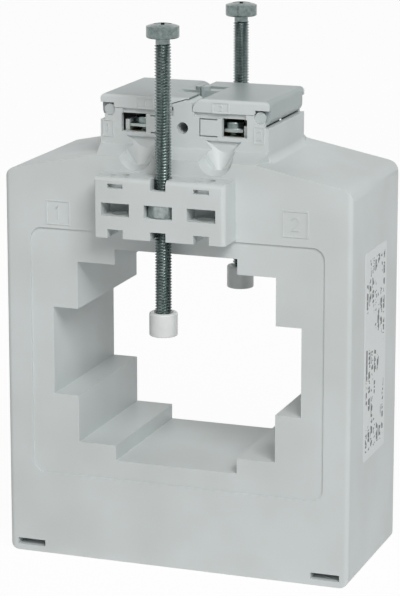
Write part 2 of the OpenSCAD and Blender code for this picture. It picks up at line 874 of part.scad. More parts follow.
front_shell();
rear_shell();
terminal_neck_front();
terminal_neck_rear();
clamp_block_front();
clamp_block_rear();
cover_left();
cover_right();
clamp_screw_front();
clamp_screw_rear();
clamp_nut_front();
clamp_nut_rear();
screw_cap_front();
screw_cap_rear();
terminal_bar_left();
terminal_bar_right();
terminal_plate_left_front();
terminal_plate_left_rear();
terminal_plate_right_front();
terminal_plate_right_rear();
terminal_screw_left_front();
terminal_screw_left_rear();
terminal_screw_right_front();
terminal_screw_right_rear();
core();
core_case_front();
core_case_rear();
winding();
lead_left();
lead_right();
rating_label();
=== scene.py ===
"""Window-type current transformer: finishes, threads, marks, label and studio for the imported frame."""

import logging
import math
from dataclasses import dataclass, field
from enum import Enum

import bmesh
import bpy
import numpy as np
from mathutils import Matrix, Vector


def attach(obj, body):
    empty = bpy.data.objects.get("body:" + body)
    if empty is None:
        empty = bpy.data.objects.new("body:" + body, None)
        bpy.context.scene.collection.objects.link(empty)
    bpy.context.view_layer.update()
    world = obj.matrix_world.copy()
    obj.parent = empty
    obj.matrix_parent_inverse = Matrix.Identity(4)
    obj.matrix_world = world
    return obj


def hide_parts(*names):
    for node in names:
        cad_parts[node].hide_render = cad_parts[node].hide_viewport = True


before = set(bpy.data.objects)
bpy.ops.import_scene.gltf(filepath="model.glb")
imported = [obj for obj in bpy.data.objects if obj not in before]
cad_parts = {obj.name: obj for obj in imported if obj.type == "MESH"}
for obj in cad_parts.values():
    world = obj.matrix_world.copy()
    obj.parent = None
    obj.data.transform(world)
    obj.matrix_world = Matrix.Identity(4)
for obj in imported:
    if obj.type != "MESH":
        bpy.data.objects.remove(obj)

log = logging.getLogger("current_transformer")
MM = 0.001
Array = np.ndarray


# ---------------------------------------------------------------- colour and nodes


def linear(hex_colour: str) -> tuple[float, float, float, float]:
    """Turns an sRGB hex colour into Blender's linear values.

    Args:
        hex_colour: six hex digits, with or without a leading #.

    Returns:
        Red, green, blue and alpha, with the sRGB transfer curve undone.
    """
    digits = hex_colour.lstrip("#")
    srgb = np.array([int(digits[i : i + 2], 16) for i in (0, 2, 4)]) / 255.0
    values = np.where(srgb <= 0.04045, srgb / 12.92, ((srgb + 0.055) / 1.055) ** 2.4)
    return (float(values[0]), float(values[1]), float(values[2]), 1.0)


def add(tree: bpy.types.NodeTree, kind: str, settings: dict | None = None, **inputs) -> bpy.types.Node:
    """Adds one node, sets its properties, and fills or links its inputs.

    Args:
        tree: the node tree that the node goes into.
        kind: the node's Blender type name.
        settings: node properties by name.
        **inputs: input values by socket name, or by i0, i1 and so on for a socket's place. A
            socket of another node is linked; anything else is set as the value.

    Returns:
        The new node.
    """
    node = tree.nodes.new(kind)
    for name, value in (settings or {}).items():
        setattr(node, name, value)
    for name, value in inputs.items():
        place = name[1:] if name[0] == "i" and name[1:].isdigit() else None
        socket = node.inputs[int(place)] if place is not None else node.inputs[name.replace("_", " ")]
        if isinstance(value, bpy.types.NodeSocket):
            tree.links.new(value, socket)
        else:
            socket.default_value = value
    return node


def ramp(
    tree: bpy.types.NodeTree, factor: bpy.types.NodeSocket, stops: list[tuple[float, str]],
) -> bpy.types.NodeSocket:
    """Adds a colour ramp over a factor.

    Args:
        tree: the node tree.
        factor: the socket that drives the ramp.
        stops: position and hex colour of each stop, in rising order.

    Returns:
        The ramp's colour output.
    """
    node = add(tree, "ShaderNodeValToRGB", None, Fac=factor)
    elements = node.color_ramp.elements
    while len(elements) < len(stops):
        elements.new(0.5)
    for element, (position, colour) in zip(elements, stops):
        element.position = position
        element.color = linear(colour)
    return node.outputs["Color"]


# ---------------------------------------------------------------- finishes


@dataclass(frozen=True)
class Finish:
    """A surface finish; each kind of finish fills its own node tree."""

    name: str

    def build(self) -> bpy.types.Material:
        """Makes the Blender material and returns it."""
        material = bpy.data.materials.new(self.name)
        material.use_nodes = True
        tree = material.node_tree
        tree.nodes.clear()
        shader = self.shade(tree)
        add(tree, "ShaderNodeOutputMaterial", None, Surface=shader)
        return material

    def shade(self, tree: bpy.types.NodeTree) -> bpy.types.NodeSocket:
        """Fills the tree and returns its surface output; every finish overrides it."""
        raise NotImplementedError


@dataclass(frozen=True)
class MouldedPlastic(Finish):
    """Glass-filled polycarbonate, injection moulded against a spark-eroded steel tool.

    The eye sees a pale cool grey with a very fine matt grain, faint cloudiness where the melt
    flowed, and a soft broad sheen along rounded edges.
    """

    pale: str = "#cfd5d5"
    deep: str = "#c8cecd"
    grain_mm: float = 0.35  # the real grain is near 0.1 mm and is drawn coarser so that it shows
    cloud_mm: float = 22.0
    roughness: float = 0.46
    relief: float = 0.05

    def shade(self, tree: bpy.types.NodeTree) -> bpy.types.NodeSocket:
        """Mixes two close greys by a slow cloud and raises a fine grain in the normals."""
        place = add(tree, "ShaderNodeTexCoord").outputs["Object"]
        cloud = add(
            tree, "ShaderNodeTexNoise", None, Vector=place, Scale=1 / (self.cloud_mm * MM), Detail=2.0,
            Roughness=0.5,
        )
        colour = ramp(tree, cloud.outputs["Fac"], [(0.35, self.deep), (0.65, self.pale)])
        grain = add(
            tree, "ShaderNodeTexNoise", None, Vector=place, Scale=1 / (self.grain_mm * MM), Detail=3.0,
            Roughness=0.6,
        )
        rough = add(
            tree, "ShaderNodeMapRange", None, Value=grain.outputs["Fac"], i3=self.roughness - 0.05,
            i4=self.roughness + 0.06,
        )
        bump = add(
            tree, "ShaderNodeBump", None, Strength=self.relief, Distance=0.05 * MM,
            Height=grain.outputs["Fac"],
        )
        shader = add(
            tree, "ShaderNodeBsdfPrincipled", None, Base_Color=colour, Roughness=rough.outputs["Result"],
            IOR=1.58, Normal=bump.outputs["Normal"],
        )
        return shader.outputs["BSDF"]


@dataclass(frozen=True)
class CoverPlastic(Finish):
    """Unfilled polycarbonate covers, a little smoother than the housing, with painted shade on their tops and skirts.

    The eye sees the housing's own pale grey on the front and rear walls, and a grey a tone deeper on the tops and
    skirts; that deeper grey is painted shade for the light falling off there. The whole cover shares one low roughness
    and reflects a little more than the housing.
    """

    pale: str = "#cfd5d5"
    # painted shade: the deeper grey that stands for the light falling off on the tops and skirts
    skin: str = "#9ea8a8"
    end_wall_mm: float = 12.75
    roughness: float = 0.36

    def shade(self, tree: bpy.types.NodeTree) -> bpy.types.NodeSocket:
        """Blends the pale walls into the painted shade of the tops and skirts by the distance from the middle of the
        depth.
        """
        place = add(tree, "ShaderNodeTexCoord").outputs["Object"]
        axes = add(tree, "ShaderNodeSeparateXYZ", None, Vector=place)
        depth = add(tree, "ShaderNodeMath", {"operation": "ABSOLUTE"}, i0=axes.outputs["Y"])
        wall = add(
            tree, "ShaderNodeMapRange", None, Value=depth.outputs[0], i1=self.end_wall_mm * MM,
            i2=(self.end_wall_mm + 0.6) * MM,
        )
        cloud = add(tree, "ShaderNodeTexNoise", None, Vector=place, Scale=1 / (14 * MM), Detail=2.0)
        # painted shade of the tops and skirts, clouded between two deep greys
        skin = ramp(tree, cloud.outputs["Fac"], [(0.3, self.skin), (0.7, "#a6b0b0")])
        colour = add(
            tree, "ShaderNodeMix", {"data_type": "RGBA"}, i0=wall.outputs["Result"], i6=skin,
            i7=linear(self.pale),
        )
        grain = add(tree, "ShaderNodeTexNoise", None, Vector=place, Scale=1 / (0.35 * MM), Detail=3.0)
        rough = add(
            tree, "ShaderNodeMapRange", None, Value=grain.outputs["Fac"], i3=self.roughness - 0.04,
            i4=self.roughness + 0.06,
        )
        bump = add(
            tree, "ShaderNodeBump", None, Strength=0.04, Distance=0.05 * MM, Height=grain.outputs["Fac"],
        )
        shader = add(
            tree, "ShaderNodeBsdfPrincipled", None, Base_Color=colour.outputs[2],
            Roughness=rough.outputs["Result"], IOR=1.58, Normal=bump.outputs["Normal"],
        )
        return shader.outputs["BSDF"]


@dataclass(frozen=True)
class ZincPlate(Finish):
    """Steel, cold headed and rolled, then bright zinc plated with a clear passivation.

    The eye sees a cool metal with a faint blue-green cast, small cloudy spots in the plating and
    sharp lights on the thread crests.
    """

    light: str = "#8d9998"
    dark: str = "#66726f"
    spot_mm: float = 0.9
    roughness: float = 0.2

    def shade(self, tree: bpy.types.NodeTree) -> bpy.types.NodeSocket:
        """Varies the tint and the polish by small cloudy spots in the plating."""
        place = add(tree, "ShaderNodeTexCoord").outputs["Object"]
        spots = add(
            tree, "ShaderNodeTexNoise", None, Vector=place, Scale=1 / (self.spot_mm * MM), Detail=3.0,
            Roughness=0.65,
        )
        colour = ramp(tree, spots.outputs["Fac"], [(0.3, self.dark), (0.7, self.light)])
        rough = add(
            tree, "ShaderNodeMapRange", None, Value=spots.outputs["Fac"], i3=self.roughness + 0.1,
            i4=self.roughness - 0.06,
        )
        bump = add(
            tree, "ShaderNodeBump", None, Strength=0.03, Distance=0.02 * MM, Height=spots.outputs["Fac"],
        )
        shader = add(
            tree, "ShaderNodeBsdfPrincipled", None, Base_Color=colour, Metallic=1.0,
            Roughness=rough.outputs["Result"], Normal=bump.outputs["Normal"],
        )
        return shader.outputs["BSDF"]


@dataclass(frozen=True)
class Polyamide(Finish):
    """Polyamide cap, moulded in a polished tool.

    The eye sees a near-white grey, smooth, with a soft milky depth and a clear sheen.
    """

    pale: str = "#dfe2e1"
    deep: str = "#d6d9d8"

    def shade(self, tree: bpy.types.NodeTree) -> bpy.types.NodeSocket:
        """A faint flow cloud in the colour and a smooth surface."""
        place = add(tree, "ShaderNodeTexCoord").outputs["Object"]
        cloud = add(tree, "ShaderNodeTexNoise", None, Vector=place, Scale=1 / (3 * MM), Detail=2.0)
        colour = ramp(tree, cloud.outputs["Fac"], [(0.3, self.deep), (0.7, self.pale)])
        rough = add(tree, "ShaderNodeMapRange", None, Value=cloud.outputs["Fac"], i3=0.34, i4=0.42)
        bump = add(
            tree, "ShaderNodeBump", None, Strength=0.05, Distance=0.05 * MM, Height=cloud.outputs["Fac"],
        )
        shader = add(
            tree, "ShaderNodeBsdfPrincipled", None, Base_Color=colour, Roughness=rough.outputs["Result"],
            IOR=1.53, Normal=bump.outputs["Normal"],
        )
        return shader.outputs["BSDF"]


@dataclass(frozen=True)
class DrawnMetal(Finish):
    """Drawn or rolled bar stock, such as nickel-washed brass, copper wire and core strip.

    The eye sees fine lines along the direction it was drawn in, and a satin sheen across them.
    """

    light: str = "#c9bd93"
    dark: str = "#a89a6e"
    line_mm: float = 0.12
    along: tuple[float, float, float] = (1.0, 0.04, 1.0)
    roughness: float = 0.32
    metallic: float = 1.0

    def shade(self, tree: bpy.types.NodeTree) -> bpy.types.NodeSocket:
        """Stretches a noise along the drawing direction and uses it for tint, polish and relief."""
        place = add(tree, "ShaderNodeTexCoord").outputs["Object"]
        drawn = add(tree, "ShaderNodeMapping", None, Vector=place, Scale=self.along)
        lines = add(
            tree, "ShaderNodeTexNoise", None, Vector=drawn.outputs["Vector"],
            Scale=1 / (self.line_mm * MM), Detail=2.0,
        )
        colour = ramp(tree, lines.outputs["Fac"], [(0.3, self.dark), (0.7, self.light)])
        rough = add(
            tree, "ShaderNodeMapRange", None, Value=lines.outputs["Fac"], i3=self.roughness + 0.08,
            i4=self.roughness - 0.06,
        )
        bump = add(
            tree, "ShaderNodeBump", None, Strength=0.15, Distance=0.02 * MM, Height=lines.outputs["Fac"],
        )
        shader = add(
            tree, "ShaderNodeBsdfPrincipled", None, Base_Color=colour, Metallic=self.metallic,
            Roughness=rough.outputs["Result"], Normal=bump.outputs["Normal"],
        )
        return shader.outputs["BSDF"]


@dataclass(frozen=True)
class PrintedFilm(Finish):
    """Pale polyester film, screen printed and laminated.

    The eye sees a cool near-white sticker with upright lines of small broken marks that stand for
    print without spelling anything, and a low even sheen.
    """

    paper: str = "#dde1e1"
    ink: str = "#3f4749"
    line_mm: float = 2.4  # spacing of the printed lines
    stroke_mm: float = 1.5  # height of the marks in a line
    mark_mm: float = 0.95  # length of one mark, coarser than real print so that it shows
    middle_mm: float = 53.8
    half_mm: tuple[float, float] = (7.6, 23.6)

    def band(
        self, tree: bpy.types.NodeTree, value: bpy.types.NodeSocket, width: float,
    ) -> bpy.types.NodeSocket:
        """One where a value lies within a width of nought, and nought elsewhere."""
        away = add(tree, "ShaderNodeMath", {"operation": "ABSOLUTE"}, i0=value)
        return add(
            tree, "ShaderNodeMath", {"operation": "LESS_THAN"}, i0=away.outputs[0], i1=width,
        ).outputs[0]

    def both(
        self, tree: bpy.types.NodeTree, one: bpy.types.NodeSocket, other: bpy.types.NodeSocket,
    ) -> bpy.types.NodeSocket:
        """The product of two masks."""
        return add(tree, "ShaderNodeMath", {"operation": "MULTIPLY"}, i0=one, i1=other).outputs[0]

    def shade(self, tree: bpy.types.NodeTree) -> bpy.types.NodeSocket:
        """Prints broken marks in upright lines, from distances along Y and Z and a stretched noise."""
        place = add(tree, "ShaderNodeTexCoord").outputs["Object"]
        axes = add(tree, "ShaderNodeSeparateXYZ", None, Vector=place)
        up = add(
            tree, "ShaderNodeMath", {"operation": "SUBTRACT"}, i0=axes.outputs["Z"],
            i1=self.middle_mm * MM,
        )
        row = add(
            tree, "ShaderNodeMath", {"operation": "PINGPONG"}, i0=axes.outputs["Y"],
            i1=self.line_mm / 2 * MM,
        )
        line = add(
            tree, "ShaderNodeMath", {"operation": "LESS_THAN"}, i0=row.outputs[0],
            i1=self.stroke_mm / 2 * MM,
        )
        field_on = self.both(
            tree, self.band(tree, axes.outputs["Y"], self.half_mm[0] * MM),
            self.band(tree, up.outputs[0], self.half_mm[1] * MM),
        )
        spread = add(tree, "ShaderNodeMapping", None, Vector=place, Scale=(1.0, 0.55, 1.0))
        marks = add(
            tree, "ShaderNodeTexNoise", None, Vector=spread.outputs["Vector"],
            Scale=1 / (self.mark_mm * MM), Detail=1.0,
        )
        broken = add(tree, "ShaderNodeMath", {"operation": "GREATER_THAN"}, i0=marks.outputs["Fac"], i1=0.5)
        long = add(tree, "ShaderNodeTexNoise", None, Vector=place, Scale=1 / (9.0 * MM), Detail=0.0)
        worded = add(tree, "ShaderNodeMath", {"operation": "GREATER_THAN"}, i0=long.outputs["Fac"], i1=0.44)
        print_on = self.both(
            tree, self.both(tree, line.outputs[0], broken.outputs[0]),
            self.both(tree, worded.outputs[0], field_on),
        )
        fibre = add(tree, "ShaderNodeTexNoise", None, Vector=place, Scale=1 / (0.8 * MM), Detail=3.0)
        paper = ramp(tree, fibre.outputs["Fac"], [(0.3, "#d8dcdc"), (0.7, self.paper)])
        colour = add(tree, "ShaderNodeMix", {"data_type": "RGBA"}, i0=print_on, i6=paper, i7=linear(self.ink))
        bump = add(
            tree, "ShaderNodeBump", None, Strength=0.05, Distance=0.02 * MM, Height=fibre.outputs["Fac"],
        )
        rough = add(tree, "ShaderNodeMapRange", None, Value=fibre.outputs["Fac"], i3=0.38, i4=0.46)
        shader = add(
            tree, "ShaderNodeBsdfPrincipled", None, Base_Color=colour.outputs[2],
            Roughness=rough.outputs["Result"], IOR=1.6, Normal=bump.outputs["Normal"],
        )
        return shader.outputs["BSDF"]


# ---------------------------------------------------------------- surfaces


def grid_faces(rows: int, columns: int, close: bool) -> Array:
    """Quads of a grid of points, row after row.

    Args:
        rows: points along the first parameter.
        columns: points along the second parameter.
        close: whether the second parameter wraps round.

    Returns:
        An array of vertex numbers, four for each face.
    """
    span = columns if close else columns - 1
    row, column = np.meshgrid(np.arange(rows - 1), np.arange(span), indexing="ij")
    after = (column + 1) % columns
    quads = np.stack(
        [row * columns + column, row * columns + after, (row + 1) * columns + after, (row + 1) * columns + column],
        axis=-1,
    )
    return quads.reshape(-1, 4)


def make_piece(
    name: str, points: Array, faces: list, finish: bpy.types.Material, smooth_deg: float | None = 35.0,
) -> bpy.types.Object:
    """Puts a surface into the scene, in millimetres, with its place in its mesh.

    Args:
        name: the new object's name.
        points: vertex places in millimetres, three to a row.
        faces: vertex numbers of each face.
        finish: its material.
        smooth_deg: the angle below which edges shade smooth, or None for flat faces.

    Returns:
        The new object.
    """
    mesh = bpy.data.meshes.new(name)
    mesh.from_pydata((points * MM).tolist(), [], [list(map(int, face)) for face in faces])
    mesh.validate()
    mesh.materials.append(finish)
    if smooth_deg is not None:
        mesh.polygons.foreach_set("use_smooth", np.ones(len(mesh.polygons), dtype=bool))
        mesh.set_sharp_from_angle(angle=math.radians(smooth_deg))
    mesh.update()
    piece = bpy.data.objects.new(name, mesh)
    bpy.context.scene.collection.objects.link(piece)
    return piece


def carry(path: Array, profile: Array, side: Array, up: Array, close: bool) -> tuple[Array, list]:
    """Carries a flat profile along a path.

    Each ring is the path's point plus the profile's first value along side and its second along
    up, so a mitred frame needs side to be scaled at its corners.

    Args:
        path: points along the way, three to a row.
        profile: offsets along side and up, two to a row.
        side: sideways direction at each point.
        up: upward direction at each point.
        close: whether the path returns to its start.

    Returns:
        The points and the faces, with end caps on an open path.
    """
    rings = path[:, None, :] + profile[None, :, 0, None] * side[:, None, :] + profile[None, :, 1, None] * up[:, None, :]
    count, size = len(path), len(profile)
    faces = grid_faces(count, size, True).tolist()
    if close:
        last = (count - 1) * size
        faces += [[last + i, last + (i + 1) % size, (i + 1) % size, i] for i in range(size)]
    else:
        faces += [list(range(size))[::-1], list(range((count - 1) * size, count * size))]
    return rings.reshape(-1, 3), faces


# ---------------------------------------------------------------- sub-assemblies


class Face(Enum):
    """Which face of the housing a piece belongs to; the rear is the front turned half a turn."""

    FRONT = 1
    REAR = -1


@dataclass
class Workshop:
    """Holds the built materials and the small jobs that all sub-assemblies share."""

    finishes: dict[str, bpy.types.Material] = field(default_factory=dict)

    def stock(self, *finishes: Finish) -> None:
        """Builds each finish once and keeps it by its name."""
        for finish in finishes:
            self.finishes[finish.name] = finish.build()

    def dress(self, node: str, finish: str) -> None:
        """Gives a frame node its finish and leaves its shape."""
        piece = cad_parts[node]
        piece.data.materials.clear()
        piece.data.materials.append(self.finishes[finish])
        log.info("dressed %s with %s", node, finish)

    def soften(
        self, node: str, finish: str, body: str, slot: str, round_mm: float, segments: int = 3,
        shortest_mm: float = 1.2,
    ) -> None:
        """Stands a merged copy of a frame node in its place, with its longer sharp edges rounded.

        Coplanar triangles are joined into whole faces first, so that the rounding and the shading
        run evenly. An edge is rounded where its faces turn by more than 40 degrees outwards and it
        is longer than the shortest length.

        Args:
            node: the frame node.
            finish: the finish's name.
            body: the body it rides on.
            slot: the record's material slot; not used.
            round_mm: the rounding, as the offset from the edge.
            segments: faces across each rounding.
            shortest_mm: edges shorter than this stay sharp.
        """
        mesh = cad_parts[node].data.copy()
        work = bmesh.new()
        work.from_mesh(mesh)
        bmesh.ops.remove_doubles(work, verts=work.verts, dist=0.002 * MM)
        bmesh.ops.dissolve_limit(work, angle_limit=math.radians(0.4), verts=work.verts, edges=work.edges)
        weight = work.edges.layers.float.new("bevel_weight_edge")
        for edge in work.edges:
            turn = edge.calc_face_angle_signed(0.0)
            if turn > math.radians(40) and edge.calc_length() > shortest_mm * MM:
                edge[weight] = 1.0
        work.to_mesh(mesh)
        work.free()
        mesh.materials.clear()
        mesh.materials.append(self.finishes[finish])
        if mesh.has_custom_normals:
            mesh.attributes.remove(mesh.attributes["custom_normal"])
        mesh.polygons.foreach_set("use_smooth", np.ones(len(mesh.polygons), dtype=bool))
        mesh.set_sharp_from_angle(angle=math.radians(32))
        piece = bpy.data.objects.new(f"{node}_softened", mesh)
        bpy.context.scene.collection.objects.link(piece)
        round_over = piece.modifiers.new("edges", "BEVEL")
        round_over.width = round_mm * MM
        round_over.segments = segments
        round_over.limit_method = "WEIGHT"
        round_over.use_clamp_overlap = True
        round_over.miter_outer = "MITER_SHARP"
        round_over.harden_normals = True
        self.seat(piece, body, slot)
        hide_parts(node)

    def seat(self, piece: bpy.types.Object, body: str, slot: str) -> None:
        """Lets a new piece ride on a body."""
        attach(piece, body)
        log.info("built %s on %s", piece.name, body)


@dataclass
class Housing:
    """The two case halves with their terminal necks, clamp blocks and moulded marks."""

    shop: Workshop
    mark_height: float = 0.14
    stroke: float = 0.42

    def build(self) -> None:
        """Dresses the mouldings and adds the raised frames and plain numbers."""
        for half in ("front", "rear"):
            for node, rounding in (("{}_shell", 0.4), ("terminal_neck_{}", 0.22), ("clamp_block_{}", 0.28)):
                self.shop.soften(node.format(half), "moulded_polycarbonate", "case", "case", rounding)
        for face in Face:
            self.marks(face)

    def marks(self, face: Face) -> None:
        """Adds the raised frames and numbers of one face."""
        depth = -20.0
        neck = -13.7
        self.framed_number(face, "mark_left", (-30.05, 86.6), (5.9, 5.7), depth, 1)
        self.framed_number(face, "mark_right", (30.05, 88.0), (6.1, 6.1), depth, 2)
        self.framed_number(face, "neck_mark_left", (-19.4, 106.9), (2.6, 3.9), neck, 1)
        self.framed_number(face, "neck_mark_right", (18.9, 107.3), (2.5, 4.0), neck, 2)

    def framed_number(
        self, face: Face, name: str, centre: tuple[float, float], size: tuple[float, float], depth: float,
        number: int, body: str = "case", slot: str = "case",
    ) -> None:
        """Raises a thin frame round a plain number on an upright face.

        The frame is a low roof profile carried round a rectangle, and the number is the same
        profile carried along its strokes.

        Args:
            face: the housing face.
            name: the mark's name.
            centre: X and Z of its middle, in millimetres, on the front face.
            size: its width and height.
            depth: Y of the surface it stands on.
            number: 1 or 2.
            body: the body it rides on.
            slot: the record's material slot; not used.
        """
        wide, high = size[0] / 2, size[1] / 2
        line = min(self.stroke, size[0] * 0.12)
        corners = np.array([[-wide, -high], [wide, -high], [wide, high], [-wide, high]])
        outward = np.sign(corners)
        profile = np.array(
            [[-line / 2, -0.05], [line / 2, -0.05], [line / 3, self.mark_height], [-line / 3, self.mark_height]],
        )
        points, faces = carry(
            self.stand(corners, centre, depth), profile, self.flat(outward), self.flat_up(4), True,
        )
        tall = high * 0.52
        if number == 1:
            path = np.array([[-0.35, 0.55], [0.0, 1.0], [0.0, -1.0]]) * tall
        else:
            turn = np.radians(np.linspace(160, -35, 9))
            arc = np.stack([0.55 * np.cos(turn), 0.45 + 0.55 * np.sin(turn)], axis=1)
            path = np.concatenate([arc, [[-0.6, -1.0], [0.62, -1.0]]]) * tall
        ahead = np.gradient(path, axis=0)
        ahead /= np.linalg.norm(ahead, axis=1)[:, None]
        across = np.stack([ahead[:, 1], -ahead[:, 0]], axis=1)
        more, more_faces = carry(
            self.stand(path, centre, depth), profile, self.flat(across), self.flat_up(len(path)), False,
        )
        faces = faces + [[i + len(points) for i in f] for f in more_faces]
        points = np.concatenate([points, more])
        if face is Face.REAR:
            points = points * np.array([-1.0, -1.0, 1.0])
        piece = make_piece(
            f"{name}_{face.name.lower()}", points, faces, self.shop.finishes["moulded_polycarbonate"],
            None,
        )
        recalculate(piece)
        self.shop.seat(piece, body, slot)

    @staticmethod
    def stand(flat: Array, centre: tuple[float, float], depth: float) -> Array:
        """Stands flat points up on an upright face at a depth."""
        return np.stack([centre[0] + flat[:, 0], np.full(len(flat), depth), centre[1] + flat[:, 1]], axis=1)

    @staticmethod
    def flat(directions: Array) -> Array:
        """Turns flat directions into directions in the face."""
        return np.stack([directions[:, 0], np.zeros(len(directions)), directions[:, 1]], axis=1)

    @staticmethod
    def flat_up(count: int) -> Array:
        """The direction out of the front face, once for each point."""
        return np.tile(np.array([0.0, -1.0, 0.0]), (count, 1))


def recalculate(piece: bpy.types.Object) -> None:
    """Merges doubles and points all faces of a new closed mesh outwards."""
    work = bmesh.new()
    work.from_mesh(piece.data)
    bmesh.ops.remove_doubles(work, verts=work.verts, dist=0.0005 * MM)
    bmesh.ops.recalc_face_normals(work, faces=work.faces)
    work.to_mesh(piece.data)
    work.free()
    piece.data.update()


@dataclass
class ThreadedScrew:
    """A screw whose head comes from its frame node and whose thread is a worked surface."""

    shop: Workshop
    node: str
    body: str
    slot: str
    finish: str
    axis: tuple[float, float]
    under_head: float
    length: float
    major: float
    pitch: float
    depth: float
    neck: float = 0.0
    around: int = 28
    per_turn: int = 6

    def build(self) -> None:
        """Replaces the plain frame screw by one with a thread."""
        points, faces = self.thread()
        head, head_faces = self.head()
        faces = faces + [[i + len(points) for i in f] for f in head_faces]
        points = np.concatenate([points, head])
        piece = make_piece(f"{self.node}_threaded", points, faces, self.shop.finishes[self.finish], 38.0)
        self.shop.seat(piece, self.body, self.slot)
        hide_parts(self.node)

    def thread(self) -> tuple[Array, list]:
        """A right-hand 60 degree thread as one surface of turn and height.

        The radius is the major radius less the thread depth times a flattened triangle wave of
        (height / pitch - turn / 2 pi); it narrows to the root at the tip and runs out to a plain
        neck under the head.

        Returns:
            The points and the faces.
        """
        rows = int(self.length / self.pitch * self.per_turn)
        height = np.linspace(0, self.length, rows)
        turn = np.linspace(0, 2 * np.pi, self.around, endpoint=False)
        phase = height[:, None] / self.pitch - turn[None, :] / (2 * np.pi)
        wave = np.abs(2 * (phase - np.floor(phase)) - 1)
        wave = np.clip((wave - 0.1) / 0.75, 0, 1)
        radius = self.major - self.depth * wave
        root = self.major - self.depth
        tip = np.clip(height / (0.9 * self.pitch), 0, 1)[:, None]
        radius = np.minimum(radius, root + (self.major - root) * tip)
        if self.neck > 0:
            plain = np.clip((self.length - self.neck - height) / (0.6 * self.pitch), 0, 1)[:, None]
            radius = (root + 0.1) + (radius - root - 0.1) * plain
        points = np.stack(
            [
                self.axis[0] + radius * np.cos(turn),
                self.axis[1] + radius * np.sin(turn),
                np.broadcast_to(self.under_head - self.length + height[:, None], radius.shape),
            ],
            axis=-1,
        ).reshape(-1, 3)
        faces = grid_faces(rows, self.around, True).tolist()
        last = (rows - 1) * self.around
        faces += [list(range(self.around))[::-1], list(range(last, last + self.around))]
        return points, faces

    def head(self) -> tuple[Array, list]:
        """The head's own triangles, taken from the frame node above the underside.

        Returns:
            The points in millimetres and the faces, merged where they meet.
        """
        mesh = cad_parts[self.node].data
        mesh.calc_loop_triangles()
        places = np.zeros(len(mesh.vertices) * 3)
        mesh.vertices.foreach_get("co", places)
        places = places.reshape(-1, 3) / MM
        corners = np.zeros(len(mesh.loop_triangles) * 3, dtype=np.int32)
        mesh.loop_triangles.foreach_get("vertices", corners)
        corners = corners.reshape(-1, 3)
        lowest = places[corners][:, :, 2].min(axis=1)
        kept = corners[lowest > self.under_head - 0.02]
        merged, back = np.unique(np.round(places[kept.reshape(-1)], 4), axis=0, return_inverse=True)
        return merged, back.reshape(-1, 3).tolist()


@dataclass
class Clamp:
    """The long screw, nut and cap on each face."""

    shop: Workshop
    screw_x: float = -1.4
    screw_y: float = -23.95
    length: float = 68.4
    major: float = 1.99
    pitch: float = 0.7
    depth: float = 0.4

    def build(self) -> None:
        """Builds both threaded screws and dresses the nuts and caps."""
        for face, under in ((Face.FRONT, 130.9), (Face.REAR, 130.4)):
            name = face.name.lower()
            ThreadedScrew(
                self.shop,
                f"clamp_screw_{name}",
                f"clamp_screw_{name}",
                "zinc",
                "zinc_plated_screw",
                (self.screw_x * face.value, self.screw_y * face.value),
                under,
                self.length,
                self.major,
                self.pitch,
                self.depth,
                neck=1.2,
            ).build()
            self.shop.soften(f"clamp_nut_{name}", "zinc_plated_nut", "case", "nut_zinc", 0.1)
            self.shop.soften(f"screw_cap_{name}", "moulded_polyamide", f"cap_{name}", "cap", 0.45, 4)


@dataclass
class Covers:
    """The two hinged covers with their marks."""

    shop: Workshop
    housing: Housing

    def build(self) -> None:
        """Softens the covers and raises a framed number on each end wall."""
        for side, number, across in (("left", 1, -9.85), ("right", 2, 9.25)):
            # the covers' finish carries painted shade on their tops and skirts
            self.shop.soften(f"cover_{side}", "cover_polycarbonate_painted_shade", f"cover_{side}", "cover", 0.25)
            self.housing.framed_number(
                Face.FRONT, f"cover_mark_{side}", (across, 113.35), (4.0, 2.4), -13.7, number,
                f"cover_{side}", "cover",
            )
            other = "right" if side == "left" else "left"
            self.housing.framed_number(
                Face.REAR, f"cover_mark_{other}", (across, 113.35), (4.0, 2.4), -13.7, number,
                f"cover_{other}", "cover",
            )


@dataclass
class Terminals:
    """Bars, pressure plates and screws inside the neck."""

    shop: Workshop
    x: float = 11.2
    y: float = 9.3
    under_head: float = 108.3
    length: float = 9.0

    def build(self) -> None:
        """Dresses the bars and plates, and threads the four screws."""
        for side, sx in (("left", -1), ("right", 1)):
            self.shop.soften(f"terminal_bar_{side}", "nickel_washed_brass", "case", "brass", 0.2)
            for end, sy in (("front", -1), ("rear", 1)):
                place = f"{side}_{end}"
                self.shop.soften(
                    f"terminal_plate_{place}", "zinc_plated_nut", f"plate_{place}", "nut_zinc", 0.18,
                )
                ThreadedScrew(
                    self.shop,
                    f"terminal_screw_{place}",
                    f"terminal_screw_{place}",
                    "terminal_zinc",
                    "zinc_plated_screw",
                    (self.x * sx, self.y * sy),
                    self.under_head,
                    self.length,
                    1.97,
                    0.7,
                    0.4,
                ).build()


@dataclass
class Magnetics:
    """Core, core case, winding and leads, sealed inside the housing."""

    shop: Workshop

    def build(self) -> None:
        """Dresses the inner pieces."""
        self.shop.dress("core", "core_strip")
        for half in ("front", "rear"):
            self.shop.dress(f"core_case_{half}", "dark_core_case")
        self.shop.dress("winding", "enamelled_copper")
        for side in ("left", "right"):
            self.shop.dress(f"lead_{side}", "enamelled_copper")


@dataclass
class Label:
    """The rating label on the case side."""

    shop: Workshop

    def build(self) -> None:
        """Dresses the label with plain ruled fields."""
        self.shop.dress("rating_label", "printed_film")


# ---------------------------------------------------------------- studio


